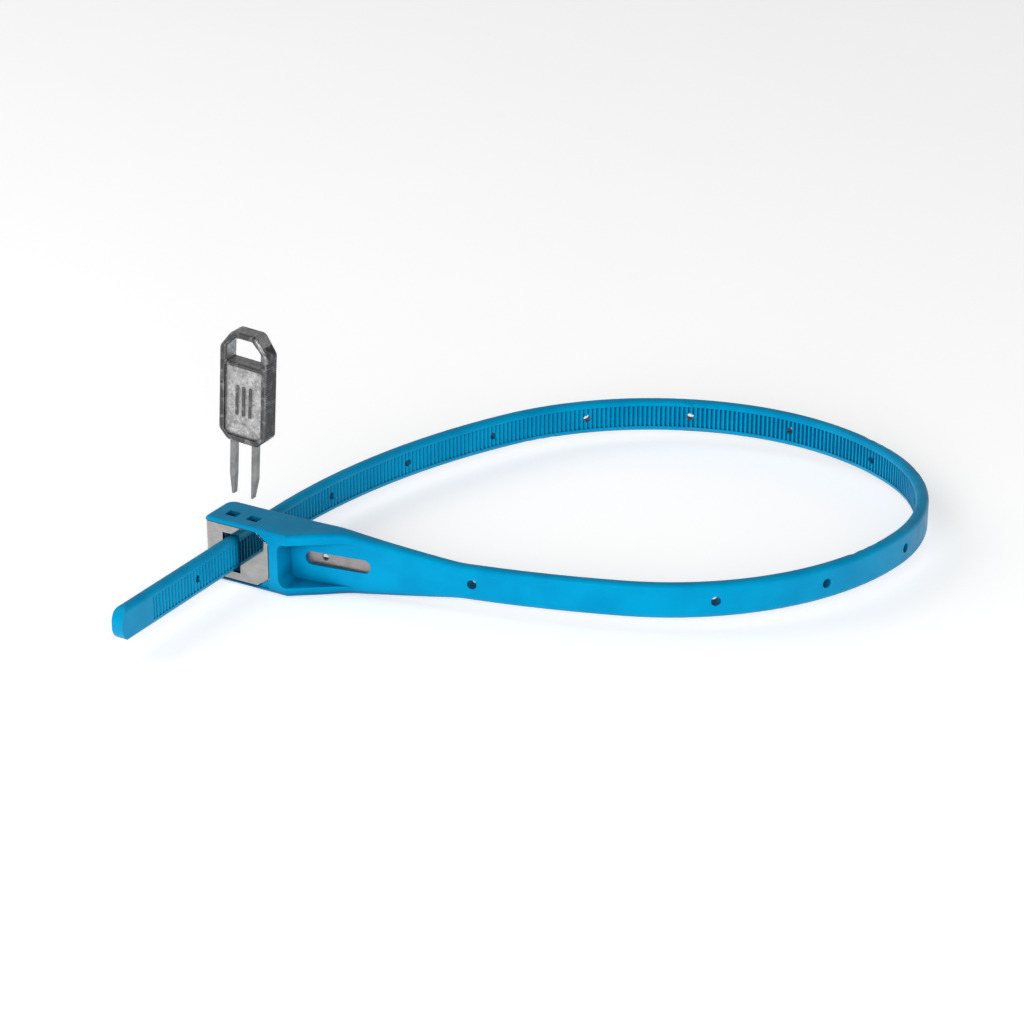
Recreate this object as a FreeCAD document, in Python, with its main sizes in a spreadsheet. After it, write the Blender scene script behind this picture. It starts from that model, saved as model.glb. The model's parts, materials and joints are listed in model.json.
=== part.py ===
"""Reusable, key-released security cable tie: a steel-cored nylon strap closed in a loop
through its own lock head, with the two-pronged key held over the key holes.

Millimetres, +Z up. The slot that the strap passes through runs along Y: the strap's free
end leaves it towards -Y, and the strap's root leaves the head towards +X. The origin is on
the flat underside of the head, straight below the middle of the slot. Every outline is
drawn about the middle of the strap's width, and each sub-part is raised by half the height
of the head through its Placement.
"""

import FreeCAD, Part
import math
import os
import re
import Sketcher

V = FreeCAD.Vector
UP = V(0, 0, 1)

# Driving dimensions in millimetres, or in degrees where the alias ends in _deg.
SIZES = [
    # the strap and its loop
    ("strap_width", 7.0),
    ("strap_thick", 2.5),
    ("strap_edge", 1.05),
    ("strap_tip_round", 3.0),
    ("tail_reach", 44.8),
    ("root_straight", 5.65),
    ("bend_root", 195.0),
    ("bend_front", 55.5),
    ("bend_side", 36.5),
    ("bend_far", 51.7),
    ("bend_back", 57.9),
    ("sweep_root_deg", 20.8),
    ("sweep_front_deg", 63.1),
    ("sweep_side_deg", 62.5),
    ("sweep_far_deg", 43.1),
    ("sweep_back_deg", 53.2),
    ("sweep_return_deg", 27.3),
    # locating holes and ratchet teeth
    ("hole_pitch", 22.5),
    ("hole_radius", 0.84),
    ("hole_draft", 0.08),
    ("hole_reach", 1.7),
    ("eye_reach", 4.1),
    ("hole_start", 43.0),
    ("first_hole", 41.8),
    ("hole_count", 15),
    ("tooth_pitch", 1.0),
    ("tooth_depth", 0.45),
    ("tooth_rise", 0.15),
    ("tooth_land", 0.3),
    ("tooth_band", 4.6),
    ("tooth_crest_gap", 0.03),
    ("toothed_length", 245.0),
    ("tooth_tip_margin", 9.0),
    # steel core
    ("core_width", 3.6),
    ("core_thick", 0.5),
    ("core_tip_margin", 5.0),
    ("core_taper_start", 11.0),
    ("core_taper_end", 36.0),
    ("core_hole_radius", 1.3),
    ("core_eye_radius", 0.7),
    ("step_rise_deg", 0.95),
    ("step_start_deg", 2.2),
    ("step_end_deg", 6.7),
    ("step_fall_deg", 8.2),
    ("step_left", 2.1),
    ("step_right", 1.45),
    # head
    ("head_height", 13.0),
    ("head_left", 6.5),
    ("head_front", 8.25),
    ("head_round", 2.3),
    ("head_front_round", 1.4),
    ("block_right", 10.8),
    ("rail_nose", 12.7),
    ("rail_toe", 20.5),
    ("rail_toe_front", 2.6),
    ("rail_toe_bend", 9.3),
    ("rail_end_deg", 9.6),
    ("rail_height", 2.0),
    ("recess_round", 1.6),
    ("recess_end_deg", 10.2),
    ("neck_bend", 490.0),
    ("neck_start", 20.0),
    ("neck_end", 44.5),
    ("neck_end_deg", 12.4),
    ("neck_blend", 30.0),
    ("window_length", 13.6),
    ("window_height", 2.8),
    ("window_middle_deg", 4.3),
    ("window_lift", 0.3),
    ("eye_along", 17.3),
    ("eye_lift", 0.5),
    # slot and lock cage
    ("slot_left", 2.0),
    ("slot_right", 1.9),
    ("slot_height", 8.0),
    ("cage_left", 6.3),
    ("cage_right", 8.6),
    ("cage_front", 8.0),
    ("cage_height", 11.2),
    ("cage_thick", 0.8),
    ("cage_round", 1.2),
    ("cage_fold", 1.1),
    ("plate_gap", 0.22),
    ("plate_gap_depth", 1.1),
    ("cage_wrap_back", 0.7),
    ("cage_flange_back", 2.2),
    ("cage_corner_side", 2.8),
    ("cage_corner_height", 2.2),
    # pawl, pin and spring
    ("pivot_side", 5.5),
    ("pivot_front", 1.75),
    ("hub_radius", 1.2),
    ("hub_height", 8.8),
    ("pin_radius", 0.6),
    ("pin_clearance", 0.05),
    ("pawl_height", 4.2),
    ("pawl_tooth_front", 5.2),
    ("pawl_gap_side", 0.25),
    ("pawl_gap_back", 0.18),
    ("arm_heel_side", 1.0),
    ("arm_heel_back", 0.6),
    ("arm_face", 2.2),
    ("arm_face_slant", 0.2),
    ("arm_shoulder", 1.1),
    ("arm_back", 1.1),
    ("arm_back_front", 0.4),
    ("arm_toe", 0.5),
    ("nose_reach", 0.6),
    ("nose_depth", 0.3),
    ("nose_foot", 0.9),
    ("nose_right", 1.8),
    ("spring_thick", 0.2),
    ("spring_height", 3.6),
    ("spring_foot_gap", 0.4),
    ("spring_overhang", 1.0),
    ("spring_lift", 0.65),
    ("spring_slant", 0.1),
    ("spring_fold", 0.45),
    ("spring_fold_side", 0.3),
    # key and its holes
    ("key_side", 0.25),
    ("key_front", 4.4),
    ("key_lean_deg", 3.6),
    ("prong_spacing", 4.9),
    ("prong_width", 1.2),
    ("prong_thick", 1.2),
    ("prong_tip", 11.1),
    ("prong_taper", 4.2),
    ("prong_tip_width", 0.4),
    ("prong_tip_shift", 0.2),
    ("prong_tip_inset", 0.1),
    ("prong_groove_gap", 0.15),
    ("key_hole_width", 2.55),
    ("key_hole_depth", 2.1),
    ("bow_bottom", 22.8),
    ("bow_height", 22.6),
    ("bow_width", 10.8),
    ("bow_side", 0.35),
    ("bow_thick", 3.7),
    ("bow_rim", 1.15),
    ("bow_edge", 0.3),
    ("bow_round", 1.4),
    ("panel_depth", 0.55),
    ("panel_top", 15.6),
    ("ring_bottom", 16.3),
    ("ring_height", 5.1),
    ("ring_width", 7.7),
    ("ring_chamfer", 2.0),
    ("top_chamfer_side", 2.6),
    ("top_chamfer_height", 3.6),
    ("foot_chamfer", 2.0),
    ("rib_width", 0.45),
    ("rib_spacing", 1.5),
    ("rib_height", 6.0),
    ("rib_bottom", 5.6),
    ("rib_rise", 0.3),
    ("serration_pitch", 0.5),
    ("serration_depth", 0.2),
    ("serration_count", 31),
    ("fork_bridge", 2.6),
]

ALIASES = {alias for alias, _ in SIZES}
BENDS = ["root", "front", "side", "far", "back"]

doc = FreeCAD.newDocument("lockable_cable_tie")
sheet = doc.addObject("Spreadsheet::Sheet", "sizes")
for row, (alias, number) in enumerate(SIZES, start=1):
    sheet.set(f"A{row}", alias)
    sheet.set(f"B{row}", str(number))
    sheet.setAlias(f"B{row}", alias)
doc.recompute()


def size(formula):
    """The number that a formula of the sheet's aliases comes to."""
    return float(sheet.evalExpression(formula))


def bound(formula):
    """The formula as the document's other objects write it, with the sheet's name."""
    return re.sub(r"[a-z_]+", lambda word: qualified(word.group()), formula)


def qualified(word):
    return "sizes." + word if word in ALIASES else word


# ---------------------------------------------------------------- bodies, sketches, tools


def new_body(name):
    body = doc.addObject("PartDesign::Body", name)
    body.Label = name
    body.setExpression("Placement.Base.z", bound("head_height / 2"))
    return body


def new_key_body(name, side="key_side"):
    """A body of the key, drawn upright about the key's own axis and then leaned over."""
    body = new_body(name)
    body.Placement.Rotation = FreeCAD.Rotation(V(0, 1, 0), size("key_lean_deg"))
    body.setExpression("Placement.Rotation.Angle", bound("key_lean_deg * 1 deg"))
    body.setExpression("Placement.Base.x", bound(side))
    body.setExpression("Placement.Base.y", bound("-key_front"))
    return body


def origin_item(body, role):
    return next(item for item in body.Origin.OriginFeatures if item.Role == role)


def new_sketch(body, name, role, offset="0"):
    """A sketch on an origin plane, moved by a formula along the plane's normal."""
    sketch = body.newObject("Sketcher::SketchObject", name)
    sketch.AttachmentSupport = [(origin_item(body, role), "")]
    sketch.MapMode = "FlatFace"
    if offset != "0":
        sketch.setExpression("AttachmentOffset.Base.z", bound(offset))
    return sketch


def stand_on_neck(sketch, angle, turn):
    """Moves an upright sketch to a point of the neck's centreline, turned about Z."""
    x, y = neck_point("bend_root", angle)
    sketch.AttachmentOffset = FreeCAD.Placement(V(), FreeCAD.Rotation(V(0, 1, 0), size(turn)))
    sketch.setExpression("AttachmentOffset.Base.x", bound(x))
    sketch.setExpression("AttachmentOffset.Base.z", bound(f"-({y})"))


def pin_down(sketch, name, constraint, formula):
    index = sketch.addConstraint(constraint)
    sketch.renameConstraint(index, name)
    sketch.setExpression("Constraints." + name, bound(formula))


def pin_point(sketch, name, edge, point, x, y):
    across = Sketcher.Constraint("DistanceX", -1, 1, edge, point, size(x))
    along = Sketcher.Constraint("DistanceY", -1, 1, edge, point, size(y))
    pin_down(sketch, name + "_x", across, x)
    pin_down(sketch, name + "_y", along, y)


def pin_radius(sketch, name, edge, radius):
    pin_down(sketch, name, Sketcher.Constraint("Radius", edge, size(radius)), radius)


def minor_arc(first, last, radius, side):
    """The short arc from first to last, with its centre on the left for side +1."""
    chord = last - first
    rise = math.sqrt(radius**2 - chord.Length**2 / 4)
    centre = (first + last) / 2 + UP.cross(chord).normalize() * (side * rise)
    ends = (first, last) if side > 0 else (last, first)
    angles = [math.atan2(end.y - centre.y, end.x - centre.x) for end in ends]
    if angles[1] < angles[0]:
        angles[1] += 2 * math.pi
    return Part.ArcOfCircle(Part.Circle(centre, UP, radius), *angles)


def outline(sketch, corners, arcs=None):
    """A closed outline with every size bound. Corners are pairs of formulas; arcs maps the
    number of an edge to its radius formula and to the side that its centre is on."""
    arcs = arcs or {}
    base = sketch.GeometryCount
    points = [V(size(x), size(y), 0) for x, y in corners]
    starts = []
    for number, first in enumerate(points):
        last = points[(number + 1) % len(points)]
        if number in arcs:
            radius, side = arcs[number]
            sketch.addGeometry(minor_arc(first, last, size(radius), side), False)
            starts.append(1 if side > 0 else 2)
        else:
            sketch.addGeometry(Part.LineSegment(first, last), False)
            starts.append(1)
    for number, (x, y) in enumerate(corners):
        edge = base + number
        after = (number + 1) % len(corners)
        ends = (edge, 3 - starts[number], base + after, starts[after])
        sketch.addConstraint(Sketcher.Constraint("Coincident", *ends))
        pin_point(sketch, f"e{edge}", edge, starts[number], x, y)
        if number in arcs:
            pin_radius(sketch, f"e{edge}_r", edge, arcs[number][0])


def rectangle(sketch, left, right, bottom, top):
    outline(sketch, [(left, bottom), (right, bottom), (right, top), (left, top)])


def circle(sketch, x, y, radius):
    edge = sketch.GeometryCount
    sketch.addGeometry(Part.Circle(V(size(x), size(y), 0), UP, size(radius)), False)
    pin_point(sketch, f"e{edge}", edge, 3, x, y)
    pin_radius(sketch, f"e{edge}_r", edge, radius)


def pad(body, sketch, length):
    feature = body.newObject("PartDesign::Pad", sketch.Name + "_pad")
    feature.Profile = sketch
    feature.SideType = "Symmetric"
    feature.setExpression("Length", bound(length))
    doc.recompute()
    return feature


def pocket(body, sketch, length=None):
    """Cuts the sketch's area out of the body, right through where no length is given."""
    before = body.Shape.Volume
    feature = body.newObject("PartDesign::Pocket", sketch.Name + "_pocket")
    feature.Profile = sketch
    feature.SideType = "Symmetric"
    if length is None:
        feature.Type = "ThroughAll"
    else:
        feature.setExpression("Length", bound(length))
    doc.recompute()
    if body.Shape.Volume > before - 1e-6:
        raise RuntimeError(feature.Name + " cuts nothing")
    return feature


def dress(body, kind, amount, wanted):
    """A Fillet or Chamfer on those edges of the body whose middle passes the test."""
    tip = body.Tip
    names = []
    for number, edge in enumerate(tip.Shape.Edges, start=1):
        middle = (edge.FirstParameter + edge.LastParameter) / 2
        if wanted(edge.valueAt(middle), edge.tangentAt(middle)):
            names.append(f"Edge{number}")
    if not names:
        raise RuntimeError(f"{kind} on {body.Name} finds no edge")
    feature = body.newObject("PartDesign::" + kind, f"{tip.Name}_{kind.lower()}")
    feature.Base = (tip, names)
    feature.setExpression("Radius" if kind == "Fillet" else "Size", bound(amount))
    doc.recompute()
    return feature


def near(one, other):
    return abs(one - other) < 1e-4


def box(name, x_range, y_range, z_range):
    """A box between pairs of formulas, with z measured from the middle of the strap."""
    tool = doc.addObject("Part::Box", name)
    sides = zip(("Length", "Width", "Height"), (x_range, y_range, z_range))
    for side, (low, high) in sides:
        tool.setExpression(side, bound(f"({high}) - ({low})"))
    for axis, (low, _) in zip("xyz", (x_range, y_range, z_range)):
        lift = " + head_height / 2" if axis == "z" else ""
        tool.setExpression("Placement.Base." + axis, bound(f"({low}){lift}"))
    return tool


def fuse(name, pieces):
    joined = doc.addObject("Part::MultiFuse", name)
    joined.Shapes = pieces
    return joined


def cut(name, base, tool):
    result = doc.addObject("Part::Cut", name)
    result.Label = name
    result.Base = base
    result.Tool = tool
    result.Refine = True
    return result


# ------------------------------------------------------------------ the strap's centreline


class Loop:
    """The centreline in plan: a straight root along +X, six tangent arcs that turn it
    through 270 degrees, and a straight tail on the line x = 0. The last arc has the radius
    that brings the strap back onto that line."""

    def __init__(self):
        radii = [size("bend_" + bend) for bend in BENDS]
        sweeps = [math.radians(size(f"sweep_{bend}_deg")) for bend in BENDS + ["return"]]
        turned = 0.0
        across = size("root_straight")
        for radius, sweep in zip(radii, sweeps):
            across += radius * (math.sin(turned + sweep) - math.sin(turned))
            turned += sweep
        radii.append(across / (math.sin(turned) - math.sin(turned + sweeps[-1])))
        self.arcs = []
        turned = 0.0
        point = V(size("root_straight"), 0, 0)
        for radius, sweep in zip(radii, sweeps):
            centre = point + V(-math.sin(turned), math.cos(turned), 0) * radius
            self.arcs.append((centre, radius, turned, sweep))
            turned += sweep
            point = centre + V(math.sin(turned), -math.cos(turned), 0) * radius
        self.tail_start = point
        self.curved_length = sum(radius * sweep for _, radius, _, sweep in self.arcs)

    def station(self, along):
        """The point and the heading at a length from the end of the straight root."""
        for centre, radius, turned, sweep in self.arcs:
            if along <= radius * sweep:
                heading = turned + along / radius
                return centre + V(math.sin(heading), -math.cos(heading), 0) * radius, heading
            along -= radius * sweep
        return self.tail_start - V(0, along, 0), 1.5 * math.pi

    def at_tail(self, y):
        """The length at which the straight tail reaches y."""
        return self.curved_length + self.tail_start.y - y


loop = Loop()


def neck_point(radius, angle):
    """The point of a circle round the first arc's centre, as a pair of formulas."""
    return (
        f"root_straight + ({radius}) * sin({angle})",
        f"bend_root - ({radius}) * cos({angle})",
    )


def face_point(angle):
    """The point of the neck's front face at an angle of the circle that it follows. The
    circle meets the strap's outer face, without a kink, where the neck ends."""
    gap = "(neck_bend - bend_root - strap_thick / 2)"
    return (
        f"root_straight - {gap} * sin(neck_end_deg) + neck_bend * sin({angle})",
        f"bend_root + {gap} * cos(neck_end_deg) - neck_bend * cos({angle})",
    )


def loop_sketch(body, name, start_angle, tail_end):
    """The centreline from an angle of the first arc to the end of the tail."""
    sketch = new_sketch(body, name, "XY_Plane")
    begun = math.radians(size(start_angle))
    for number, (centre, radius, turned, sweep) in enumerate(loop.arcs):
        skipped = begun if number == 0 else 0.0
        first = turned - math.pi / 2
        ring = Part.Circle(centre, UP, radius)
        sketch.addGeometry(Part.ArcOfCircle(ring, first + skipped, first + sweep), False)
    tail = len(loop.arcs)
    tail_line = Part.LineSegment(loop.tail_start, V(0, size(tail_end), 0))
    sketch.addGeometry(tail_line, False)
    pin_point(sketch, "start", 0, 1, *neck_point("bend_root", start_angle))
    centre_x = Sketcher.Constraint("DistanceX", -1, 1, 0, 3, size("root_straight"))
    pin_down(sketch, "first_centre", centre_x, "root_straight")
    for number in range(tail):
        sketch.addConstraint(Sketcher.Constraint("Tangent", number, 2, number + 1, 1))
    for number, bend in enumerate(BENDS):
        pin_radius(sketch, bend + "_radius", number, "bend_" + bend)
        sweep = f"sweep_{bend}_deg" + (f" - {start_angle}" if number == 0 else "")
        angle = Sketcher.Constraint("Angle", number, math.radians(size(sweep)))
        pin_down(sketch, bend + "_sweep", angle, f"({sweep}) * 1 deg")
    sketch.addConstraint(Sketcher.Constraint("PointOnObject", tail, 1, -2))
    sketch.addConstraint(Sketcher.Constraint("PointOnObject", tail, 2, -2))
    reach = Sketcher.Constraint("DistanceY", -1, 1, tail, 2, size(tail_end))
    pin_down(sketch, "tail_end", reach, tail_end)
    doc.recompute()
    return sketch


def sweep_along_loop(body, name, start_angle, tail_end, draw_section):
    """Sweeps a section, drawn about the strap's middle, along the loop."""
    path = loop_sketch(body, name + "_path", start_angle, tail_end)
    section = new_sketch(body, name + "_section", "XZ_Plane")
    draw_section(section)
    stand_on_neck(section, start_angle, "90 + " + start_angle)
    doc.recompute()
    pipe = body.newObject("PartDesign::AdditivePipe", name + "_pipe")
    pipe.Profile = section
    pipe.Spine = (path, [f"Edge{number + 1}" for number in range(len(loop.arcs) + 1)])
    doc.recompute()
    return pipe


# ------------------------------------------------------------------------- nylon moulding


def neck_taper(sketch, sign):
    """What lies above (sign "") or below (sign "-") the neck, seen from the front: the
    neck narrows in a straight line that blends into the head and into the strap."""
    slope = "atan((head_height - strap_width) / 2 / (neck_end - neck_start))"
    reach = f"neck_blend * tan({slope} / 2)"
    high = "head_height / 2"
    low = "strap_width / 2"
    side = -1 if sign == "" else 1
    corners = [
        (f"neck_start - {reach}", f"{sign}({high})"),
        (
            f"neck_start + {reach} * cos({slope})",
            f"{sign}({high} - {reach} * sin({slope}))",
        ),
        (f"neck_end - {reach} * cos({slope})", f"{sign}({low} + {reach} * sin({slope}))"),
        (f"neck_end + {reach}", f"{sign}({low})"),
        ("neck_end + 10", f"{sign}({low})"),
        ("neck_end + 10", f"{sign}head_height"),
        (f"neck_start - {reach}", f"{sign}head_height"),
    ]
    outline(sketch, corners, {0: ("neck_blend", side), 2: ("neck_blend", -side)})


def head_plan(sketch):
    """The head and neck from above. The neck's back follows the first arc of the loop."""
    front = "-head_front"
    back = "strap_thick / 2"
    left = "-head_left"
    outer = "bend_root + strap_thick / 2"
    inner = "bend_root - strap_thick / 2"
    corners = [
        (f"{left} + head_front_round", front),
        ("rail_nose", front),
        ("rail_toe", "-rail_toe_front"),
        face_point("rail_end_deg"),
        neck_point(outer, "neck_end_deg"),
        neck_point(inner, "neck_end_deg"),
        ("root_straight", back),
        (f"{left} + head_round", back),
        (left, f"{back} - head_round"),
        (left, f"{front} + head_front_round"),
    ]
    arcs = {
        2: ("rail_toe_bend", -1),
        3: ("neck_bend", 1),
        5: (inner, -1),
        7: ("head_round", 1),
        9: ("head_front_round", 1),
    }
    outline(sketch, corners, arcs)


def strap_section(sketch):
    half = "strap_thick / 2"
    high = "strap_width / 2"
    corners = [
        (f"-{half} + strap_edge", f"-{high}"),
        (f"{half} - strap_edge", f"-{high}"),
        (half, f"-{high} + strap_edge"),
        (half, f"{high} - strap_edge"),
        (f"{half} - strap_edge", high),
        (f"-{half} + strap_edge", high),
        (f"-{half}", f"{high} - strap_edge"),
        (f"-{half}", f"-{high} + strap_edge"),
    ]
    outline(sketch, corners, {edge: ("strap_edge", 1) for edge in (1, 3, 5, 7)})


def tip_corner(sketch, sign):
    """What the rounded end of the strap lacks at one corner, seen from the side."""
    end = "-tail_reach"
    high = "strap_width / 2"
    corners = [
        (end, f"{sign}({high} - strap_tip_round)"),
        (f"{end} + strap_tip_round", f"{sign}({high})"),
        (f"{end} + strap_tip_round", f"{sign}strap_width"),
        (f"{end} - 1", f"{sign}strap_width"),
        (f"{end} - 1", f"{sign}({high} - strap_tip_round)"),
    ]
    outline(sketch, corners, {0: ("strap_tip_round", -1 if sign == "" else 1)})


def nylon_blank():
    """The moulding without its cavities: head, neck and strap."""
    body = new_body("nylon_blank")
    plan = new_sketch(body, "head_plan", "XY_Plane")
    head_plan(plan)
    pad(body, plan, "head_height")

    taper = new_sketch(body, "neck_taper", "XZ_Plane")
    neck_taper(taper, "")
    neck_taper(taper, "-")
    pocket(body, taper)

    lowest = size("strap_width / 2") - 1e-3
    dress(
        body,
        "Fillet",
        "strap_edge",
        lambda at, along: abs(at.z) > lowest and not runs_across(at, along),
    )

    recess = new_sketch(body, "recess", "XY_Plane")
    middle = face_point("0")[0]
    far_edge = face_point("recess_end_deg")
    corners = [
        ("block_right", "-2 * head_front"),
        (far_edge[0], "-2 * head_front"),
        far_edge,
        face_point(f"asin((block_right - ({middle})) / neck_bend)"),
    ]
    outline(recess, corners, {2: ("neck_bend", -1)})
    pocket(body, recess, "head_height - 2 * rail_height")
    inner = size("head_height / 2 - rail_height")
    dress(
        body,
        "Fillet",
        "recess_round",
        lambda at, along: near(at.x, size("block_right"))
        and near(abs(at.z), inner)
        and near(abs(along.y), 1),
    )

    seat = new_sketch(body, "cage_seat", "XY_Plane")
    corners = [
        ("cage_right", "-2 * cage_front"),
        ("cage_right", "-cage_front"),
        ("-cage_left + cage_round", "-cage_front"),
        ("-cage_left", "-cage_front + cage_round"),
        ("-cage_left", "-cage_wrap_back"),
        ("-2 * cage_left", "-cage_wrap_back"),
        ("-2 * cage_left", "-2 * cage_front"),
    ]
    outline(seat, corners, {2: ("cage_round", -1)})
    pocket(body, seat, "cage_height")

    gap = new_sketch(body, "plate_gap", "XZ_Plane", "cage_front")
    top = "(cage_height / 2 + plate_gap)"
    slanted = "cage_right - cage_corner_side"
    corners = [
        ("-2 * head_left", f"-{top}"),
        (slanted, f"-{top}"),
        ("cage_right + plate_gap", f"-{top} + cage_corner_height"),
        ("cage_right + plate_gap", f"{top} - cage_corner_height"),
        (slanted, top),
        ("-2 * head_left", top),
    ]
    outline(gap, corners)
    pocket(body, gap, "2 * plate_gap_depth")

    slot = new_sketch(body, "strap_slot", "XZ_Plane")
    rectangle(slot, "-slot_left", "slot_right", "-slot_height / 2", "slot_height / 2")
    pocket(body, slot)

    window = new_sketch(body, "core_window", "XZ_Plane")
    window_outline(window)
    stand_on_neck(window, "window_middle_deg", "window_middle_deg")
    pocket(body, window)

    sweep_along_loop(body, "strap", "neck_end_deg", "-tail_reach", strap_section)
    tip = new_sketch(body, "tip_corners", "YZ_Plane")
    tip_corner(tip, "")
    tip_corner(tip, "-")
    pocket(body, tip, "2 * strap_thick")
    return body


def runs_across(at, along):
    """Whether a level edge crosses the head's thickness, or ends the neck."""
    neck_cut = size(neck_point("bend_root", "neck_end_deg")[0])
    return abs(at.x - neck_cut) < size("strap_thick") / 2 or near(abs(along.y), 1)


def window_outline(sketch):
    """The window with round ends, drawn about its own middle."""
    half = "window_height / 2"
    reach = f"(window_length / 2 - {half})"
    corners = [
        (f"-{reach}", f"window_lift - {half}"),
        (reach, f"window_lift - {half}"),
        ("window_length / 2", "window_lift"),
        (reach, f"window_lift + {half}"),
        (f"-{reach}", f"window_lift + {half}"),
        ("-window_length / 2", "window_lift"),
    ]
    outline(sketch, corners, {edge: (half, 1) for edge in (1, 2, 4, 5)})


def tooth_comb():
    """The row of ratchet teeth as the tool that cuts them: saw teeth with flat crests on
    the inner face, whose steep sides face back along the strap. One valley lies opposite
    the pawl's first tooth."""
    face = size("strap_thick / 2")
    valley = face - size("tooth_depth")
    crest = face - size("tooth_crest_gap")
    pitch = size("tooth_pitch")
    at_pawl = loop.at_tail(-size("pawl_tooth_front"))
    strap_end = loop.at_tail(-size("tail_reach"))
    behind = int((at_pawl + size("toothed_length - tooth_tip_margin") - strap_end) / pitch)
    ahead = int((strap_end - size("tooth_tip_margin") - at_pawl) / pitch)
    profile = []
    for number in range(-behind, ahead):
        start = at_pawl + number * pitch
        profile.append(inner_point(start, valley))
        profile.append(inner_point(start + size("tooth_rise"), crest))
        profile.append(inner_point(start + size("tooth_rise + tooth_land"), crest))
    profile.append(inner_point(at_pawl + ahead * pitch, valley))
    clear = face + size("tooth_depth")
    first = at_pawl - behind * pitch
    steps = behind + ahead
    backing = [inner_point(first + number * pitch, clear) for number in range(steps + 1)]
    wire = Part.makePolygon(profile + backing[::-1] + profile[:1])
    comb = doc.addObject("Part::Feature", "tooth_comb")
    comb.Shape = Part.Face(wire).extrude(UP * size("tooth_band"))
    comb.setExpression("Placement.Base.z", bound("(head_height - tooth_band) / 2"))
    return comb


def inner_point(along, offset):
    """A point beside the centreline, towards the inside of the loop."""
    point, heading = loop.station(along)
    return point + V(-math.sin(heading), math.cos(heading), 0) * offset


def hole_row(name, radius, draft="0"):
    """The round tools for the small holes, one every pitch. The first is a little nearer to
    the neck, and the second is left out, because the strap is plain there. They are short,
    so that the one inside the head's slot cuts the strap and not the head."""
    row = ["first_hole"]
    row += [f"hole_start + {number} * hole_pitch" for number in range(2, int(size("hole_count")))]
    pins = [cross_pin(name, size(along), radius, "hole_reach", draft=draft) for along in row]
    return fuse(name, pins)


def cross_pin(name, along, radius, reach, lift="0", draft="0"):
    """A round tool that stands square through the strap and reaches the same distance to
    both sides of it, at a height above its middle. Its radius grows outward by the draft
    on each millimetre."""
    point, heading = loop.station(along)
    outward = V(math.sin(heading), -math.cos(heading), 0)
    tapered = size(draft) > 0
    tool = doc.addObject("Part::Cone" if tapered else "Part::Cylinder", name + "_pin")
    if tapered:
        tool.setExpression("Radius1", bound(f"{radius} - {draft} * {reach}"))
        tool.setExpression("Radius2", bound(f"{radius} + {draft} * {reach}"))
    else:
        tool.setExpression("Radius", bound(radius))
    tool.setExpression("Height", bound(f"2 * {reach}"))
    start = point - outward * size(reach) + UP * size(f"head_height / 2 + {lift}")
    tool.Placement = FreeCAD.Placement(start, FreeCAD.Rotation(UP, outward))
    return tool


# ------------------------------------------------------------------------------ steel core


def core_blank():
    """The steel band of the strap, which widens into a plate at the back of the head and
    steps forward between the two, where the window shows it."""
    body = new_body("core_blank")
    plan = new_sketch(body, "core_plan", "XY_Plane")
    half = "core_thick / 2"
    outer = f"bend_root + {half}"
    inner = f"bend_root - {half}"
    left = "-cage_left + cage_thick"
    corners = [
        (left, f"-{half}"),
        ("root_straight", f"-{half}"),
        neck_point(outer, "step_rise_deg"),
        neck_point("bend_root + step_left", "step_start_deg"),
        neck_point("bend_root + step_right", "step_end_deg"),
        neck_point(outer, "step_fall_deg"),
        neck_point(outer, "neck_end_deg"),
        neck_point(inner, "neck_end_deg"),
        neck_point(inner, "step_fall_deg"),
        neck_point("bend_root + step_right - core_thick", "step_end_deg"),
        neck_point("bend_root + step_left - core_thick", "step_start_deg"),
        neck_point(inner, "step_rise_deg"),
        ("root_straight", half),
        (left, half),
    ]
    outline(plan, corners, {1: (outer, 1), 5: (outer, 1), 7: (inner, -1), 11: (inner, -1)})
    pad(body, plan, "cage_height")

    taper = new_sketch(body, "core_taper", "XZ_Plane")
    for sign in ("", "-"):
        corners = [
            ("core_taper_start", f"{sign}cage_height / 2"),
            ("core_taper_end", f"{sign}core_width / 2"),
            ("neck_end + 10", f"{sign}core_width / 2"),
            ("neck_end + 10", f"{sign}head_height"),
            ("core_taper_start", f"{sign}head_height"),
        ]
        outline(taper, corners)
    pocket(body, taper)

    slot = new_sketch(body, "core_slot", "XZ_Plane")
    rectangle(slot, "-slot_left", "slot_right", "-slot_height / 2", "slot_height / 2")
    pocket(body, slot)
    end = "-tail_reach + core_tip_margin"
    sweep_along_loop(body, "core", "neck_end_deg", end, core_section)
    return body


def core_section(sketch):
    half = "core_thick / 2"
    rectangle(sketch, f"-{half}", half, "-core_width / 2", "core_width / 2")


# -------------------------------------------------------------------------------- the lock


def key_tools():
    """The two key holes, and the groove that guides the left prong past the strap."""
    tools = []
    depth = ("-key_front - key_hole_depth / 2", "-key_front + key_hole_depth / 2")
    lean = "tan(key_lean_deg)"
    for side, name in (("-", "key_hole_left"), ("+", "key_hole_right")):
        middle = f"key_side {side} prong_spacing / 2 + {lean} * (slot_height + head_height) / 4"
        across = (f"{middle} - key_hole_width / 2", f"{middle} + key_hole_width / 2")
        tools.append(box(name, across, depth, ("slot_height / 2", "head_height")))
    reach = f"(prong_width / 2 + prong_groove_gap + {lean} * cage_height / 2)"
    middle = "key_side - prong_spacing / 2"
    across = (f"{middle} - {reach}", f"{middle} + {reach}")
    reach = "(prong_thick / 2 + prong_groove_gap)"
    depth = (f"-key_front - {reach}", f"-key_front + {reach}")
    inside = ("-cage_height / 2 + cage_thick", "cage_height / 2 - cage_thick")
    tools.append(box("prong_groove", across, depth, inside))
    return fuse("key_tools", tools)


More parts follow.
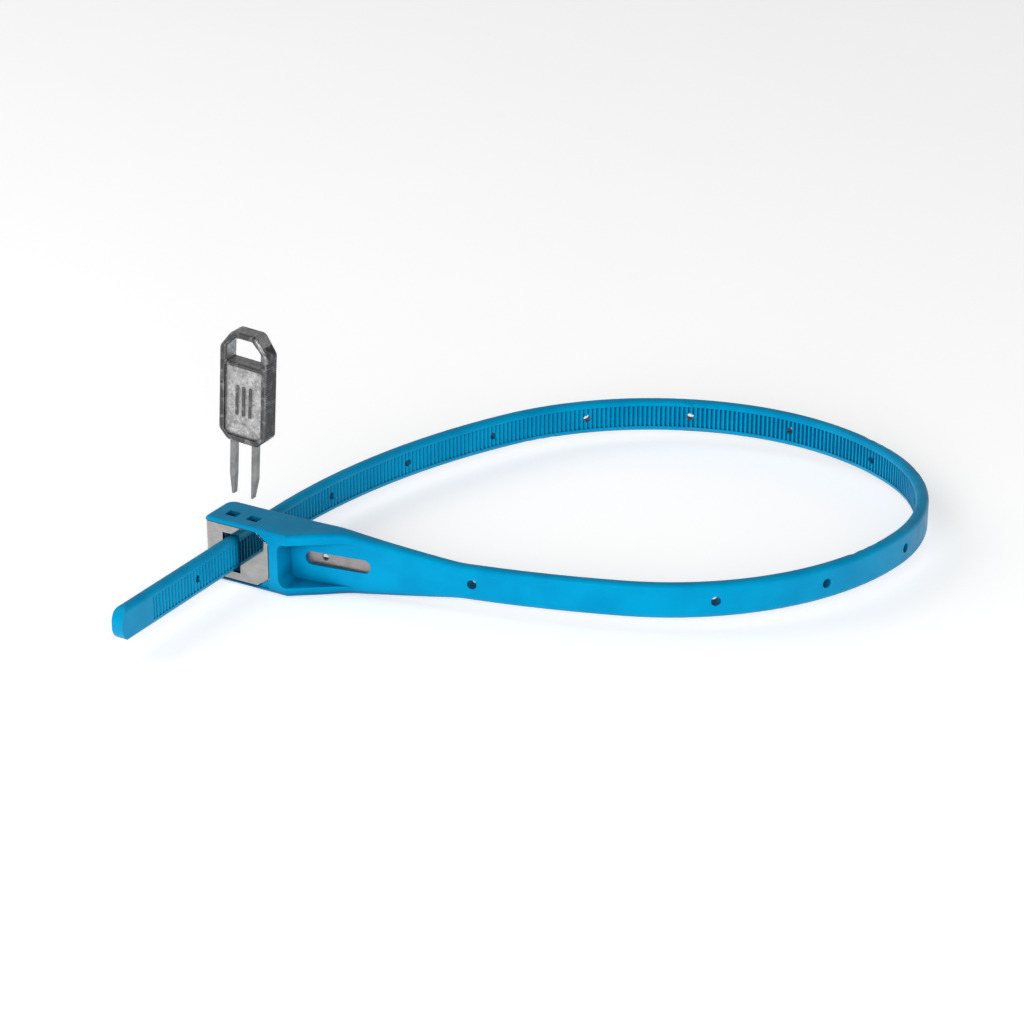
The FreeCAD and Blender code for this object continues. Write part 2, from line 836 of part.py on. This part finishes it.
def pawl_chamber():
    """The space inside the cage, beside the slot, where the pawl swings."""
    across = ("slot_right - 0.1", "cage_right - cage_thick")
    depth = ("-cage_front + cage_thick", "-core_thick / 2")
    inside = ("-cage_height / 2 + cage_thick", "cage_height / 2 - cage_thick")
    return box("pawl_chamber", across, depth, inside)


def cage_blank():
    """The folded stainless cage: a face plate that wraps the head's left end, a flange
    folded in on the right, and an ear above and below that carries the pawl's pin."""
    body = new_body("cage_blank")
    left = "-cage_left"
    front = "-cage_front"
    inner_round = "cage_round - cage_thick"
    inner_fold = "cage_fold - cage_thick"
    plan = new_sketch(body, "cage_plan", "XY_Plane")
    corners = [
        (f"{left} + cage_round", front),
        ("cage_right - cage_fold", front),
        ("cage_right", f"{front} + cage_fold"),
        ("cage_right", "-cage_flange_back"),
        ("cage_right - cage_thick", "-cage_flange_back"),
        ("cage_right - cage_thick", f"{front} + cage_fold"),
        ("cage_right - cage_fold", f"{front} + cage_thick"),
        (f"{left} + cage_round", f"{front} + cage_thick"),
        (f"{left} + cage_thick", f"{front} + cage_round"),
        (f"{left} + cage_thick", "-cage_wrap_back"),
        (left, "-cage_wrap_back"),
        (left, f"{front} + cage_round"),
    ]
    arcs = {
        1: ("cage_fold", 1),
        5: (inner_fold, -1),
        7: (inner_round, -1),
        11: ("cage_round", 1),
    }
    outline(plan, corners, arcs)
    pad(body, plan, "cage_height")

    for side, sign in (("top", ""), ("bottom", "-")):
        ear = new_sketch(body, f"{side}_ear", "XY_Plane", f"{sign}(cage_height - cage_thick) / 2")
        rectangle(
            ear,
            f"{left} + cage_round",
            "cage_right - cage_thick / 2",
            f"{front} + cage_thick / 2",
            "-core_thick / 2",
        )
        circle(ear, "pivot_side", "-pivot_front", "pin_radius")
        pad(body, ear, "cage_thick")

    slot = new_sketch(body, "plate_slot", "XZ_Plane")
    rectangle(slot, "-slot_left", "slot_right", "-slot_height / 2", "slot_height / 2")
    pocket(body, slot, "4 * cage_front")

    corner = new_sketch(body, "plate_corners", "XZ_Plane", "cage_front")
    for sign in ("", "-"):
        corners = [
            ("cage_right - cage_corner_side", f"{sign}cage_height / 2"),
            ("cage_right", f"{sign}(cage_height / 2 - cage_corner_height)"),
            ("2 * cage_right", f"{sign}(cage_height / 2 - cage_corner_height)"),
            ("2 * cage_right", f"{sign}cage_height"),
            ("cage_right - cage_corner_side", f"{sign}cage_height"),
        ]
        outline(corner, corners)
    pocket(body, corner, "2 * cage_thick - 0.01")
    return body


def pawl():
    """The pawl: a hub on the pin and an arm with two teeth that point at the strap. The
    arm's left face is what the key's right prong pushes aside."""
    body = new_body("locking_pawl")
    side = "(strap_thick / 2 - tooth_depth + pawl_gap_side)"
    root = f"({side} + tooth_depth - tooth_crest_gap)"
    tooth = "(-pawl_tooth_front + pawl_gap_back)"
    nose = "(-pawl_tooth_front + nose_depth)"
    foot = f"({tooth} - tooth_pitch - nose_depth)"
    arm = new_sketch(body, "pawl_arm", "XY_Plane")
    corners = [
        ("pivot_side - arm_heel_side", "-pivot_front + arm_heel_back"),
        ("pivot_side - arm_face + arm_face_slant", "-pivot_front - arm_shoulder"),
        ("pivot_side - arm_face", nose),
        (f"{side} + nose_reach", nose),
        (side, tooth),
        (root, f"{tooth} - tooth_rise"),
        (root, f"{tooth} - tooth_rise - tooth_land"),
        (side, f"{tooth} - tooth_pitch"),
        (root, f"{tooth} - tooth_pitch - tooth_rise"),
        (f"{side} + nose_foot", foot),
        ("pivot_side - nose_right", foot),
        ("pivot_side + arm_toe", nose),
        ("pivot_side + arm_back", "-pivot_front - arm_back_front"),
    ]
    outline(arm, corners)
    pad(body, arm, "pawl_height")
    hub = new_sketch(body, "pawl_hub", "XY_Plane")
    circle(hub, "pivot_side", "-pivot_front", "hub_radius")
    pad(body, hub, "hub_height")
    bore = new_sketch(body, "pawl_bore", "XY_Plane")
    circle(bore, "pivot_side", "-pivot_front", "pin_radius + pin_clearance")
    pocket(body, bore, "2 * hub_height")
    return body


def pawl_pin():
    pin = doc.addObject("Part::Cylinder", "pawl_pin")
    pin.Label = "pawl_pin"
    pin.setExpression("Radius", bound("pin_radius"))
    pin.setExpression("Height", bound("cage_height"))
    pin.setExpression("Placement.Base.x", bound("pivot_side"))
    pin.setExpression("Placement.Base.y", bound("-pivot_front"))
    pin.setExpression("Placement.Base.z", bound("(head_height - cage_height) / 2"))
    return pin


def pawl_spring():
    """The leaf spring: a foot along the cage's flange, folded back towards the pawl. It is
    drawn pressed in, as the key leaves it."""
    body = new_body("pawl_spring")
    leaf = new_sketch(body, "leaf_plan", "XY_Plane")
    right = "cage_right - cage_thick"
    lifted = f"{right} - spring_lift"
    fold = "(-pawl_tooth_front - spring_overhang)"
    free = "-pawl_tooth_front + spring_overhang"
    corners = [
        (right, "-cage_flange_back - spring_foot_gap"),
        (f"{right} - spring_thick", "-cage_flange_back - spring_foot_gap"),
        (f"{right} - spring_thick", fold),
        (lifted, fold),
        (f"{lifted} - spring_slant", free),
        (f"{lifted} - spring_slant - spring_thick", free),
        (f"{lifted} - spring_thick", fold),
        (f"{right} - spring_fold_side - spring_thick", f"{fold} - spring_fold"),
        (right, fold),
    ]
    outline(leaf, corners)
    pad(body, leaf, "spring_height")
    return body


# --------------------------------------------------------------------------------- the key


def key_fork():
    """The steel fork of the key: two prongs with wedge tips, joined by a bridge."""
    body = new_key_body("key_prong_fork")
    middle = "prong_spacing / 2"
    outer = f"({middle} + prong_width / 2)"
    inner = f"({middle} - prong_width / 2)"
    shoulder = "prong_tip + prong_taper"
    bridge = "bow_bottom + fork_bridge"
    corners = [
        (f"-{middle} - prong_tip_width / 2 + prong_tip_shift", "prong_tip"),
        (f"-{middle} + prong_tip_width / 2 + prong_tip_shift", "prong_tip"),
        (f"-{inner}", shoulder),
        (f"-{inner}", bridge),
        (inner, bridge),
        (f"{inner} + prong_tip_inset", "prong_tip"),
        (f"{inner} + prong_tip_width", "prong_tip"),
        (outer, shoulder),
        (outer, f"{bridge} + prong_width"),
        (f"-{outer}", f"{bridge} + prong_width"),
        (f"-{outer}", shoulder),
    ]
    profile = new_sketch(body, "fork_outline", "XZ_Plane")
    outline(profile, corners)
    pad(body, profile, "prong_thick")
    return body


def bow_blank():
    """The cast bow of the key, with a ring window, a sunk panel with plain grip ribs on each
    face and fine grip grooves down both sides."""
    body = new_key_body("bow_blank", "key_side + bow_side")
    half = "bow_width / 2"
    foot = "bow_bottom"
    top = "bow_bottom + bow_height"
    profile = new_sketch(body, "bow_outline", "XZ_Plane")
    corners = [
        (f"-{half} + foot_chamfer", foot),
        (f"{half} - foot_chamfer", foot),
        (half, f"{foot} + foot_chamfer"),
        (half, f"{top} - top_chamfer_height"),
        (f"{half} - top_chamfer_side", top),
        (f"-{half} + top_chamfer_side", top),
        (f"-{half}", f"{top} - top_chamfer_height"),
        (f"-{half}", f"{foot} + foot_chamfer"),
    ]
    outline(profile, corners)
    pad(body, profile, "bow_thick")
    dress(body, "Fillet", "bow_round", lambda at, along: near(abs(along.y), 1))

    ring = new_sketch(body, "ring_window", "XZ_Plane")
    side = "ring_width / 2"
    low = "bow_bottom + ring_bottom"
    high = f"{low} + ring_height"
    corners = [
        (f"-{side}", low),
        (side, low),
        (side, f"{high} - ring_chamfer"),
        (f"{side} - ring_chamfer", high),
        (f"-{side} + ring_chamfer", high),
        (f"-{side}", f"{high} - ring_chamfer"),
    ]
    outline(ring, corners)
    pocket(body, ring, "2 * bow_thick")
    face = size("bow_thick / 2")
    dress(body, "Chamfer", "bow_edge", lambda at, along: near(abs(at.y), face))

    for side, sign in (("front", ""), ("back", "-")):
        panel = new_sketch(body, f"{side}_panel", "XZ_Plane", f"{sign}(bow_thick - panel_depth) / 2")
        edge = f"({half} - bow_rim)"
        corners = [
            (f"-{edge} + foot_chamfer / 2", f"{foot} + bow_rim"),
            (f"{edge} - foot_chamfer / 2", f"{foot} + bow_rim"),
            (edge, f"{foot} + bow_rim + foot_chamfer / 2"),
            (edge, f"{foot} + panel_top"),
            (f"-{edge}", f"{foot} + panel_top"),
            (f"-{edge}", f"{foot} + bow_rim + foot_chamfer / 2"),
        ]
        outline(panel, corners)
        pocket(body, panel, "panel_depth")
        floor = f"{sign}(bow_thick / 2 - panel_depth + (rib_rise - bow_edge) / 2)"
        ribs = new_sketch(body, f"{side}_ribs", "XZ_Plane", floor)
        for number in (-1, 0, 1):
            left = f"{number} * rib_spacing - rib_width / 2"
            bottom = f"{foot} + rib_bottom"
            rectangle(ribs, left, f"{left} + rib_width", bottom, f"{bottom} + rib_height")
        pad(body, ribs, "rib_rise + bow_edge")

    groove = new_sketch(body, "grip_groove", "XZ_Plane")
    start = f"{foot} + foot_chamfer + serration_pitch"
    for sign, inward in (("", "-"), ("-", "+")):
        edge = f"{sign}{half}"
        corners = [
            (edge, f"{start} - serration_pitch / 3"),
            (f"{edge} {inward} serration_depth", start),
            (edge, f"{start} + serration_pitch / 3"),
            (f"{sign}({half} + bow_edge)", start),
        ]
        outline(groove, corners)
    cut_one = pocket(body, groove, "2 * bow_thick")
    row = body.newObject("PartDesign::LinearPattern", "grip_grooves")
    row.Originals = [cut_one]
    row.Direction = (origin_item(body, "Z_Axis"), [""])
    row.setExpression("Length", bound("serration_pitch * (serration_count - 1)"))
    row.setExpression("Occurrences", bound("serration_count"))
    body.Tip = row
    doc.recompute()
    return body


# -------------------------------------------------------------------------------- assembly


def build():
    """Makes every sub-part and returns them by node name."""
    holes = hole_row("locating_hole", "hole_radius", "hole_draft")
    core_holes = hole_row("core_hole", "core_hole_radius")
    eye_along = size("eye_along - root_straight")
    eye = cross_pin("core_eye", eye_along, "core_eye_radius", "eye_reach", "eye_lift")
    keyways = key_tools()
    fork = key_fork()
    core = cut("steel_core_band", core_blank(), fuse("core_tools", [core_holes, eye]))
    cage = cut("lock_cage", cage_blank(), keyways)
    pin = pawl_pin()
    cavities = [holes, keyways, pawl_chamber(), core, cage, pin, tooth_comb()]
    moulding = cut("nylon_overmould", nylon_blank(), fuse("nylon_cavities", cavities))
    bow = cut("key_bow", bow_blank(), fork)
    doc.recompute()
    return [moulding, core, cage, pawl(), pin, pawl_spring(), bow, fork]


def check_and_write(nodes):
    doc.recompute()
    for item in doc.Objects:
        if "Invalid" in item.State or "Error" in item.State:
            raise RuntimeError(f"{item.Name} failed: {item.State}")
    os.makedirs("parts", exist_ok=True)
    for node in nodes:
        shape = node.Shape
        if shape.isNull() or not shape.isValid() or len(shape.Solids) != 1:
            raise RuntimeError(f"{node.Label} is not one valid solid: {len(shape.Solids)}")
        shape.exportStep(f"parts/{node.Label}.step")
        print(f"{node.Label}: {shape.Volume:.1f} mm3")


check_and_write(build())
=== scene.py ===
"""Lockable cable tie: materials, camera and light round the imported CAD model. Every solid of
the CAD model shows as it is, with a node material made for it here."""

import json
import math

import bpy
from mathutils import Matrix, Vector

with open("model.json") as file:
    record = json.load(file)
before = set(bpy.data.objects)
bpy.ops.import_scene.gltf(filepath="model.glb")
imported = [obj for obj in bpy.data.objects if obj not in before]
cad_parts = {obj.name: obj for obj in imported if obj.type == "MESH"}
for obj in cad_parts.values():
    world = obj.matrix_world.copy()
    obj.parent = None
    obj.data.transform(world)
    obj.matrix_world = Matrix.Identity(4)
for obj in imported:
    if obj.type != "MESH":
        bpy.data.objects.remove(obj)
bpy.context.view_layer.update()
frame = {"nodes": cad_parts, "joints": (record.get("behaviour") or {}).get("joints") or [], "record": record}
MM = 0.001

# Camera, in millimetres and degrees. At azimuth 0 it looks along +Y, and at elevation 0 level.
CAMERA_AT = (323.9, -455.2, 267.8)
CAMERA_AZIMUTH = 30.28
CAMERA_ELEVATION = 24.69
CAMERA_LENS = 110.56
SENSOR_WIDTH = 36

# The key's bow, in millimetres: half the width of its sunk panels, and how far their floors
# are from its middle plane.
PANEL_HALF = 4.25
PANEL_FLOOR = 1.30

# Soft lights, in metres and watts: where each stands, what it faces, its size and its power.
FRONT_LIGHT = dict(at=(0.32, -0.76, 0.30), target=(0.04, 0.0, 0.01), size=(0.60, 0.45), power=6.6)
LEFT_LIGHT = dict(at=(-0.60, -0.20, 0.50), target=(0.03, 0.03, 0.01), size=(0.50, 0.50), power=1.6)

# The studio: the strength of the light from all round, the share of it that comes from
# overhead, the floor's own glow, and how far the floor reaches each way, in metres.
STUDIO_STRENGTH = 0.50
OVERHEAD_SHARE = 0.45
FLOOR_GLOW = 0.46
FLOOR_REACH = 3.0

# Rays for each soft edge or crevice, and the numbered sockets of a mix of two colours.
SAMPLES = 6
MIX_FIRST, MIX_SECOND, MIX_RESULT = 6, 7, 2


def grey(value):
    return (value, value, value)


class Finish:
    """One node material, built on a principled shader. Lengths are in millimetres and
    patterns are fixed to the mesh's own coordinates."""

    def __init__(self, name):
        self.material = bpy.data.materials.new(name)
        self.material.use_nodes = True
        self.tree = self.material.node_tree
        self.shader = self.tree.nodes["Principled BSDF"]
        self.place = self.node("ShaderNodeTexCoord").outputs["Object"]
        self.normal = None

    def node(self, kind, **settings):
        made = self.tree.nodes.new(kind)
        for key, value in settings.items():
            setattr(made, key, value)
        return made

    def feed(self, socket, value):
        """Links an output to the socket, or sets a constant on it."""
        if isinstance(value, bpy.types.NodeSocket):
            self.tree.links.new(value, socket)
        elif socket.type == "RGBA":
            socket.default_value = (*value, 1)
        else:
            socket.default_value = value

    def set(self, name, value):
        self.feed(self.shader.inputs[name], value)

    def math(self, operation, *values):
        made = self.node("ShaderNodeMath", operation=operation)
        for socket, value in zip(made.inputs, values):
            self.feed(socket, value)
        return made.outputs[0]

    def dot(self, vector, direction):
        made = self.node("ShaderNodeVectorMath", operation="DOT_PRODUCT")
        self.feed(made.inputs[0], vector)
        self.feed(made.inputs[1], direction)
        return made.outputs["Value"]

    def noise(self, grain, detail, stretch=(1, 1, 1), turn=0.0, distortion=0.0):
        """Noise whose lumps are about grain across, times the stretch on each axis, with the
        pattern turned by some degrees about Y."""
        mapping = self.node("ShaderNodeMapping")
        self.feed(mapping.inputs["Vector"], self.place)
        mapping.inputs["Rotation"].default_value = (0, math.radians(turn), 0)
        mapping.inputs["Scale"].default_value = [1 / (grain * MM * side) for side in stretch]
        made = self.node("ShaderNodeTexNoise")
        self.feed(made.inputs["Vector"], mapping.outputs["Vector"])
        made.inputs["Scale"].default_value = 1.0
        made.inputs["Detail"].default_value = detail
        made.inputs["Distortion"].default_value = distortion
        return made.outputs["Fac"]

    def rescale(self, value, low, high, to_low=0.0, to_high=1.0):
        """The value mapped smoothly from one range to another, and held inside it."""
        made = self.node("ShaderNodeMapRange", interpolation_type="SMOOTHSTEP")
        for socket, each in zip(made.inputs, (value, low, high, to_low, to_high)):
            self.feed(socket, each)
        return made.outputs["Result"]

    def within(self, distance, limit, fade):
        """1 where the distance is under the limit, and 0 from the end of the fade."""
        return self.rescale(distance, limit * MM, (limit + fade) * MM, 1.0, 0.0)

    def mix(self, share, first, second):
        made = self.node("ShaderNodeMix", data_type="RGBA")
        self.feed(made.inputs["Factor"], share)
        self.feed(made.inputs[MIX_FIRST], first)
        self.feed(made.inputs[MIX_SECOND], second)
        return made.outputs[MIX_RESULT]

    def tint(self, color, mask, share, toward):
        """The colour drawn toward another where the mask is, by at most the share."""
        return self.mix(self.math("MULTIPLY", mask, share), color, toward)

    def round_edges(self, radius):
        """Softens every edge, and returns where the edges are: there the softened normal
        leaves the flat face's own."""
        bevel = self.node("ShaderNodeBevel", samples=SAMPLES)
        bevel.inputs["Radius"].default_value = radius * MM
        true = self.node("ShaderNodeNewGeometry").outputs["Normal"]
        self.normal = bevel.outputs["Normal"]
        flat, rounded = 0.999, 0.93
        return self.rescale(self.dot(self.normal, true), flat, rounded)

    def crevices(self, reach, amount):
        """Where the surface is shut in by others within the reach, such as slots, holes and
        corners: the amount there, and 0 in the open. It masks painted shade."""
        shade = self.node("ShaderNodeAmbientOcclusion", samples=SAMPLES)
        shade.inputs["Distance"].default_value = reach * MM
        shut, clear = 0.30, 0.96
        return self.rescale(shade.outputs["AO"], shut, clear, amount, 0.0)

    def bump(self, height, depth, strength):
        """Adds relief of a depth on top of the soft edges and the relief that is there."""
        made = self.node("ShaderNodeBump")
        made.inputs["Strength"].default_value = strength
        made.inputs["Distance"].default_value = depth * MM
        self.feed(made.inputs["Height"], height)
        self.feed(made.inputs["Normal"], self.normal)
        self.normal = made.outputs["Normal"]

    def done(self):
        if self.normal is not None:
            self.set("Normal", self.normal)
        return self.material


def nylon():
    """Injection-moulded satin nylon: slightly cloudy colour, fine mould texture, drawn-out
    rubs on the faces, edges that have a little polish and a painted highlight, and painted
    shade in slots and corners."""
    deep, pale = (0.0, 0.222, 0.435), (0.0, 0.268, 0.495)
    rubbed, speck = (0.0, 0.35, 0.60), (0.0, 0.15, 0.34)
    painted_edge_highlight, painted_shade = (0.0, 0.33, 0.58), (0.0, 0.07, 0.16)
    it = Finish("nylon")
    edges = it.round_edges(0.12)
    clouds = it.rescale(it.noise(9, 3), 0.3, 0.7)
    rubs = it.rescale(it.noise(0.5, 4, stretch=(9, 9, 1.2)), 0.60, 0.74)
    specks = it.rescale(it.noise(0.22, 1), 0.70, 0.80)
    color = it.mix(clouds, deep, pale)
    color = it.tint(color, rubs, 0.20, rubbed)
    color = it.tint(color, specks, 0.12, speck)
    # Painted highlight: the edges' colour is drawn toward a lighter blue.
    color = it.tint(color, edges, 0.12, painted_edge_highlight)
    # Painted shade: the colour is darkened where nearby surfaces shut it in, in slots, holes and corners.
    color = it.mix(it.crevices(4.5, 0.9), color, painted_shade)
    it.set("Base Color", color)
    rough = it.rescale(it.noise(2.5, 3), 0.3, 0.7, 0.34, 0.46)
    rough = it.math("ADD", rough, it.math("MULTIPLY", rubs, 0.12))
    it.set("Roughness", it.math("SUBTRACT", rough, it.math("MULTIPLY", edges, 0.08)))
    it.set("Specular IOR Level", 0.30)
    it.set("Specular Tint", (0.02, 0.50, 0.85))
    it.bump(it.noise(1.4, 2), 0.03, 0.5)
    it.bump(it.noise(0.16, 2), 0.006, 0.6)
    it.bump(it.math("SUBTRACT", 1.0, rubs), 0.004, 0.5)
    return it.done()


def rolled_steel(name, color, rough, along=(14, 1, 1), marks=0.5, stain=0.45):
    """Sheet or strip steel: fine rolling marks drawn out along one axis, dull stains,
    a few scratches and edges brightened as a painted highlight."""
    dark = tuple(0.62 * part for part in color)
    bright = tuple(1.2 * part for part in color)
    it = Finish(name)
    edges = it.round_edges(0.08)
    lines = it.noise(0.12, 3, stretch=along)
    stains = it.rescale(it.noise(3.2, 4, distortion=0.6), 0.35, 0.70)
    scratches = it.rescale(it.noise(0.35, 2, stretch=(1.2, 10, 1.0), turn=33), 0.68, 0.72)
    tone = it.tint(color, stains, stain, dark)
    tone = it.tint(tone, it.rescale(lines, 0.35, 0.65), 0.25, dark)
    # Painted highlight: the edges' colour is drawn toward a brighter tone.
    tone = it.tint(tone, edges, 0.60, bright)
    it.set("Base Color", tone)
    it.set("Metallic", 1.0)
    value = it.rescale(lines, 0.3, 0.7, 0.85 * rough, 1.25 * rough)
    value = it.math("ADD", value, it.math("MULTIPLY", scratches, 0.15))
    it.set("Roughness", it.math("ADD", value, it.math("MULTIPLY", stains, 0.3 * rough)))
    it.bump(lines, 0.002, marks)
    it.bump(it.math("SUBTRACT", 1.0, scratches), 0.003, marks)
    return it.done()


def bow_middle():
    """The direction across the key's bow, square to the way the key slides, and the middle of
    its ring window, which is on the bow's middle line and in its middle plane."""
    slide = next(joint for joint in frame["joints"] if joint["name"] == "key_slide")
    mounts = frame["record"]["mounts"]
    window = next(mount for mount in mounts if mount["name"] == "key_ring_window")
    down = Vector(slide["axis"])
    return Vector((-down.z, 0, down.x)), Vector(window["pos_m"])


def sunk_panel(it):
    """Where the sunk panels of the key's bow are: near the middle line, and no further from
    the middle plane than their floors. It fades just above a floor and just short of a wall."""
    across, middle = bow_middle()
    side = it.math("ABSOLUTE", it.math("SUBTRACT", it.dot(it.place, across), middle.dot(across)))
    depth = it.math("ABSOLUTE", it.math("SUBTRACT", it.dot(it.place, (0, 1, 0)), middle.y))
    sunk = it.within(depth, PANEL_FLOOR + 0.06, 0.08)
    inside = it.within(side, PANEL_HALF - 0.10, 0.12)
    return it.math("MULTIPLY", sunk, inside)


def cast_key():
    """Tumbled zinc casting: a pebbled sunk panel that is lighter than the rim and has painted
    highlights on its pebble tops, a grained surface, edges and ribs that are rubbed bright and
    carry a painted highlight, and painted shade in the corners."""
    skin, worn, pale = (0.09, 0.09, 0.095), grey(0.32), grey(0.47)
    dirt, pit, painted_sparkle = (0.07, 0.07, 0.072), (0.05, 0.05, 0.052), grey(0.80)
    rubbed, painted_shade = grey(0.55), grey(0.02)
    it = Finish("cast_key")
    edges = it.round_edges(0.14)
    panel = sunk_panel(it)
    pebbles = it.noise(0.55, 2)
    grain = it.noise(0.12, 3)
    grime = it.rescale(it.noise(2.2, 4), 0.35, 0.70)
    wear = it.rescale(it.noise(1.3, 3, distortion=0.5), 0.48, 0.68)
    tone = it.mix(panel, it.tint(skin, wear, 0.80, worn), pale)
    tone = it.tint(tone, grime, 0.40, dirt)
    tone = it.mix(it.rescale(pebbles, 0.30, 0.46, 0.55, 0.0), tone, pit)
    tops = it.rescale(pebbles, 0.54, 0.72, 0.06, 0.60)
    # Painted highlight: sparkle on the pebble tops of the sunk panel.
    tone = it.mix(it.math("MULTIPLY", tops, panel), tone, painted_sparkle)
    # Rubbed wear and painted highlight: the edges' colour is drawn toward a light grey.
    tone = it.tint(tone, edges, 0.50, rubbed)
    # Painted shade: the colour is darkened where nearby surfaces shut it in, in corners, slots and holes.
    tone = it.mix(it.crevices(0.9, 0.85), tone, painted_shade)
    it.set("Base Color", tone)
    it.set("Metallic", 1.0)
    rough = it.rescale(grain, 0.3, 0.7, 0.30, 0.46)
    it.set("Roughness", it.math("ADD", rough, it.math("MULTIPLY", panel, 0.08)))
    it.bump(pebbles, 0.12, 0.7)
    it.bump(grain, 0.02, 0.5)
    return it.done()


def plain_studio_floor():
    """Matt near-white paper with a faint mottle and a little glow of its own."""
    it = Finish("floor")
    it.set("Base Color", it.mix(it.noise(60, 3), grey(0.86), grey(0.90)))
    it.set("Roughness", 0.8)
    it.set("Emission Color", grey(1.0))
    it.set("Emission Strength", FLOOR_GLOW)
    return it.done()


def dress(node, material):
    slots = frame["nodes"][node].data.materials
    slots.clear()
    slots.append(material)


def add_object(name, data):
    made = bpy.data.objects.new(name, data)
    bpy.context.scene.collection.objects.link(made)
    return made


def aim(thing, direction):
    """Turns a camera or a light so that it looks along the direction, with its top up."""
    thing.rotation_mode = "QUATERNION"
    thing.rotation_quaternion = direction.to_track_quat("-Z", "Y")


def add_camera():
    data = bpy.data.cameras.new("camera")
    data.lens = CAMERA_LENS
    data.sensor_width = SENSOR_WIDTH
    data.clip_start = 0.01
    data.clip_end = 20
    camera = add_object("camera", data)
    camera.location = Vector(CAMERA_AT) * MM
    azimuth = math.radians(CAMERA_AZIMUTH)
    elevation = math.radians(CAMERA_ELEVATION)
    level = Vector((-math.sin(azimuth), math.cos(azimuth), 0))
    aim(camera, level * math.cos(elevation) - Vector((0, 0, math.sin(elevation))))
    bpy.context.scene.camera = camera


def add_soft_light(name, at, target, size, power):
    data = bpy.data.lights.new(name, "AREA")
    data.shape = "RECTANGLE"
    data.size, data.size_y = size
    data.energy = power
    lamp = add_object(name, data)
    lamp.location = at
    aim(lamp, Vector(target) - Vector(at))


def add_surroundings():
    """A white studio that is brightest level with the object and dimmer overhead."""
    world = bpy.data.worlds.new("studio")
    bpy.context.scene.world = world
    world.use_nodes = True
    tree = world.node_tree
    way = tree.nodes.new("ShaderNodeTexCoord")
    split = tree.nodes.new("ShaderNodeSeparateXYZ")
    ramp = tree.nodes.new("ShaderNodeValToRGB")
    tree.links.new(way.outputs["Generated"], split.inputs[0])
    tree.links.new(split.outputs["Z"], ramp.inputs[0])
    tree.links.new(ramp.outputs[0], tree.nodes["Background"].inputs["Color"])
    level, overhead = ramp.color_ramp.elements
    level.position, level.color = 0.05, (*grey(1.0), 1)
    overhead.position, overhead.color = 0.75, (*grey(OVERHEAD_SHARE), 1)
    tree.nodes["Background"].inputs["Strength"].default_value = STUDIO_STRENGTH
    bpy.context.scene.view_settings.view_transform = "Standard"


def add_floor():
    ways = ((-1, -1), (1, -1), (1, 1), (-1, 1))
    corners = [(FLOOR_REACH * x, FLOOR_REACH * y, 0) for x, y in ways]
    mesh = bpy.data.meshes.new("floor")
    mesh.from_pydata(corners, [], [(0, 1, 2, 3)])
    mesh.materials.append(plain_studio_floor())
    add_object("floor", mesh)


dress("nylon_overmould", nylon())
dress("lock_cage", rolled_steel("polished_steel", (0.45, 0.435, 0.42), 0.06))
dress("steel_core_band", rolled_steel("core_steel", (0.38, 0.335, 0.32), 0.30))
dress("locking_pawl", rolled_steel("pawl_steel", (0.36, 0.36, 0.37), 0.38, along=(1, 1, 8)))
dress("pawl_pin", rolled_steel("pin_steel", (0.55, 0.55, 0.56), 0.22, along=(6, 6, 1)))
dress("pawl_spring", rolled_steel("spring_steel", (0.42, 0.42, 0.44), 0.25, along=(1, 10, 1)))
dress("key_bow", cast_key())
fork_steel = rolled_steel("fork_steel", (0.30, 0.30, 0.305), 0.30, (1, 1, 12), marks=0.9, stain=1.0)
dress("key_prong_fork", fork_steel)

add_camera()
add_surroundings()
add_floor()
add_soft_light("front_light", **FRONT_LIGHT)
add_soft_light("left_light", **LEFT_LIGHT)
